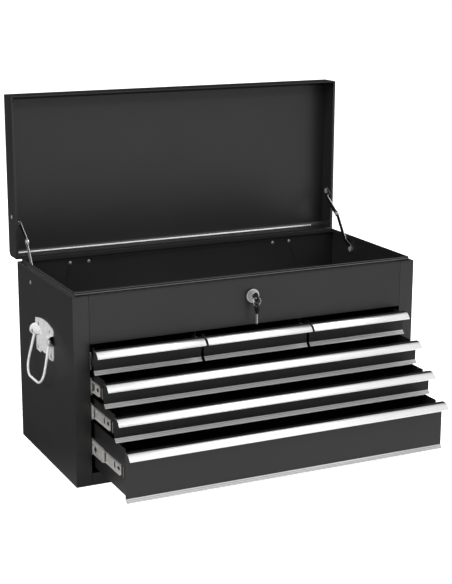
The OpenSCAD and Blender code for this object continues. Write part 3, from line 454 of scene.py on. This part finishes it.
# Painted highlight and shade lines along the front rim, the lighter greys as highlights on its
# folds and the bare near-black ones as shade between them: drop below its top and half width in
# millimetres, grey, and whether bare.
RIM_HIGHLIGHT_AND_SHADE_LINES = ((0.5, 0.5, 0.06, False), (1.7, 0.7, 0.01, True), (3.2, 0.8, 0.13, False),
             (4.6, 0.6, 0.01, True))


def fascia_material(node):
    """The case's paint with thin painted highlight and shade lines along the stepped rim."""
    material = copy_finish("fascia_paint", "case_paint", FASCIA_SPECULAR)
    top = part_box(node)[1].z
    # Painted highlight and shade lines along the rim.
    for drop, half_width, tone, bare in RIM_HIGHLIGHT_AND_SHADE_LINES:
        painted_line = band(material.node_tree, Z, top - drop * MM, half_width * MM)
        tint(material, painted_line, tone, bare)
    return material


# A painted shadow, bare near-black, on the case side beside the handle plate's waist.
PLATE_SHADOW_CENTRE = (0, -31 * MM, 200.5 * MM)
PLATE_SHADOW_CORE = (0, 6 * MM, 0)
PLATE_SHADOW_R = 9 * MM
PLATE_SHADOW_TONE = 0.002


def case_material(node):
    """The case's paint, with a black painted shadow in front of the handle plate's waist."""
    material = copy_finish(node + "_paint", "case_paint")
    tree = material.node_tree
    # Painted shadow in front of the handle plate's waist.
    away = distance(tree, (0, 1, 1), PLATE_SHADOW_CENTRE, PLATE_SHADOW_CORE)
    tint(material, near(tree, away, 0, PLATE_SHADOW_R), PLATE_SHADOW_TONE, bare=True)
    return material


HINGE_RIVET_REACH = 6 * MM
HINGE_RIVET_TONE = 0.3


def rivet_material(_node):
    """The rivets' steel, darker on the hinge rivets at the back of the till."""
    material = copy_finish("case_rivet_steel", "rivet_steel")
    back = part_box("case_shell")[1].y
    tint(material, band(material.node_tree, Y, back, HINGE_RIVET_REACH), HINGE_RIVET_TONE)
    return material


# Painted shade in the trim's grooves: half width and grey.
GROOVE_HALF = 0.5 * MM
GROOVE_SHADE_TONE = 0.37


def trim_material(node):
    """The trim's metal with painted shade in its two grooves, a third of its height apart."""
    material = copy_finish(node + "_metal", "trim_metal")
    tree = material.node_tree
    low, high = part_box(node)
    upper, lower = (band(tree, Z, high.z + (low.z - high.z) * third / 3, GROOVE_HALF)
                    for third in (1, 2))
    # Painted shade in both grooves.
    tint(material, math_step(tree, "MAXIMUM", upper, lower), GROOVE_SHADE_TONE)
    return material


# The slots through a slide member's web, by the end of the node's name, in millimetres:
# place behind its front end, half length, half height and end radius.
SLIDE_SLOTS = {
    "_slides": ((8.5, 1.8, 0, 2.6), (24, 0, 3.1, 2.1)),
    "_slide_middles": ((34, 0, 3.3, 1.9), (34, 3.3, 0, 1.9)),
}
SLOT_TONE = 0.01


def slide_material(node, slots):
    """The slide's steel, dark in and round its slots."""
    material = copy_finish(node + "_steel", "slide_steel")
    tree = material.node_tree
    low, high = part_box(node)
    for behind, half_y, half_z, radius in slots:
        centre = (0, low.y + behind * MM, (low.z + high.z) / 2)
        away = distance(tree, (0, 1, 1), centre, (0, half_y * MM, half_z * MM))
        tint(material, near(tree, away, 0, radius * MM), SLOT_TONE)
    return material


LAP_HALF = 0.45 * MM
LAP_TONE = 0.06


def pull_material(node):
    """The pull's metal, darker along the strip that laps the top of the drawer front."""
    material = copy_finish(node + "_metal", "pull_metal")
    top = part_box(node)[1].z
    tint(material, band(material.node_tree, Z, top, LAP_HALF), LAP_TONE)
    return material


# The pressed bead in front of each drawer slide: its near and far side and half its height.
BEAD_NEAR = 8.2 * MM
BEAD_FAR = 10 * MM
BEAD_HALF = 8 * MM
# Greys of the painted highlight on the bead's edge and of the painted shade, bare, in the gap
# before it.
BEAD_HIGHLIGHT_TONE = 0.28
GAP_SHADE_TONE = 0.004
DEEP_DRAWER = "drawer_bottom"
DEEP_SPECULAR = 0.44
SHALLOW_SPECULAR = 0.3


def box_material(node):
    """The drawer's paint with a painted highlight on the edge of the bead ahead of its slide
    and painted shade in the gap between the two. The shallow drawers' paint has less gloss than
    the deep one's."""
    drawer = node.removesuffix("_box")
    specular = DEEP_SPECULAR if drawer == DEEP_DRAWER else SHALLOW_SPECULAR
    material = copy_finish(drawer + "_paint", "drawer_paint", specular)
    tree = material.node_tree
    low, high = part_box(drawer + "_slides")
    height = band(tree, Z, (low.z + high.z) / 2, BEAD_HALF)
    gap = between(tree, Y, low.y - BEAD_NEAR, low.y)
    edge = between(tree, Y, low.y - BEAD_FAR, low.y - BEAD_NEAR)
    # Painted shade in the gap, then a painted highlight on the bead's edge.
    tint(material, both(tree, height, gap), GAP_SHADE_TONE, bare=True)
    tint(material, both(tree, height, edge), BEAD_HIGHLIGHT_TONE)
    return material


# The painted shadow at the outer lip and the turned rings: radius and half width in
# millimetres, and grey.
LOCK_SHADOW_AND_RINGS = ((11.2, 0.5, 0.03), (5.9, 0.25, 0.15), (7.4, 0.25, 0.15), (8.7, 0.25, 0.15))


def lock_material(node):
    """The lock's plating with a painted shadow at its outer lip and turned rings."""
    material = copy_finish("lock_face", "lock_plating")
    tree = material.node_tree
    low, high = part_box(node)
    away = distance(tree, (1, 0, 1), ((low.x + high.x) / 2, 0, (low.z + high.z) / 2))
    # A painted shadow at the outer lip, and the turned rings.
    for radius, half_width, tone in LOCK_SHADOW_AND_RINGS:
        tint(material, near(tree, away, radius * MM, half_width * MM), tone)
    return material


# Where the painted highlights and shade start: on both upper links, and on the right one of the
# lower.
STAY_SHADING_FROM = {"stay_upper_links": -1, "stay_lower_links": 0}
STAY_SHADING_REACH = 2
# The size of the normal's x and the grey, for the painted highlights on the cut edges and the
# painted shade on the faces.
STAY_HIGHLIGHT_AND_SHADE = ((0, 0.7, 0.95), (1, 0.3, 0.04))


def stay_material(node):
    """The stays' steel, with painted highlights on the cut edges and painted shade on the
    faces.
    """
    material = copy_finish(node + "_steel", "stay_steel")
    tree = material.node_tree
    size = math_step(tree, "ABSOLUTE", place_along(tree, X, "Normal"))
    start = STAY_SHADING_FROM[node]
    shown = between(tree, X, start, start + STAY_SHADING_REACH)
    # Painted highlights on the cut edges and painted shade on the faces.
    for middle, half_width, tone in STAY_HIGHLIGHT_AND_SHADE:
        tint(material, both(tree, near(tree, size, middle, half_width), shown), tone)
    return material


# The groove's sides, as shares of the key's width, and its grey.
KEY_GROOVE = (0.52, 0.92)
KEY_GROOVE_TONE = 0.03


def spare_key_material(node):
    """The key's nickel with a dark groove milled along the blade."""
    material = copy_finish("spare_key_blade", "key_nickel")
    low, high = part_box(node)
    start, end = (low.x + (high.x - low.x) * share for share in KEY_GROOVE)
    tint(material, between(material.node_tree, X, start, end), KEY_GROOVE_TONE)
    return material


# ------------------------------------------------------------------ dressing the parts

MARKED_NODES = {
    "lid_shell": lid_material,
    "front_fascia": fascia_material,
    "case_shell": case_material,
    "case_rivets": rivet_material,
    "lock_housing": lock_material,
    "spare_key": spare_key_material,
    "stay_upper_links": stay_material,
    "stay_lower_links": stay_material,
}
# By the end of the name, on the nodes of the drawers.
MARKED_DRAWER_PARTS = {"_box": box_material, "_pull": pull_material, "_trim": trim_material}

# The width of the rounded edges, in millimetres, by material slot.
EDGE_ROUNDING = {
    "case_paint": 0.35,
    "drawer_paint": 0.25,
    "pull_metal": 0.2,
    "trim_metal": 0.1,
    "slide_steel": 0.15,
    "stay_steel": 0.25,
    "handle_plating": 0.35,
    "lock_plating": 0.3,
    "key_black": 0.3,
    "key_nickel": 0.1,
    "hinge_steel": 0.15,
}
WELD_REACH = 0.01 * MM
EDGE_SEGMENTS = 2
SHARP_ANGLE = math.radians(40)


def node_material(node, slot):
    """The finish of one carried-over part."""
    if node in MARKED_NODES:
        return MARKED_NODES[node](node)
    if node.startswith("drawer_"):
        for ending, make in MARKED_DRAWER_PARTS.items():
            if node.endswith(ending):
                return make(node)
        for ending, slots in SLIDE_SLOTS.items():
            if node.endswith(ending):
                return slide_material(node, slots)
    return FINISHES[slot]


def round_edges(part, width):
    """Welds the shell's loose faces and rounds its sharp edges."""
    weld = part.modifiers.new("weld", "WELD")
    weld.merge_threshold = WELD_REACH
    bevel = part.modifiers.new("bevel", "BEVEL")
    bevel.width = width
    bevel.segments = EDGE_SEGMENTS
    bevel.limit_method = "ANGLE"
    bevel.angle_limit = SHARP_ANGLE
    bevel.harden_normals = True


for entry in frame["record"]["subparts"]:
    node_name, slot_name = entry["node"], entry["material_slot"]
    carried = nodes[node_name]
    carried.data.materials.clear()
    carried.data.materials.append(node_material(node_name, slot_name))
    if slot_name in EDGE_ROUNDING:
        round_edges(carried, EDGE_ROUNDING[slot_name] * MM)
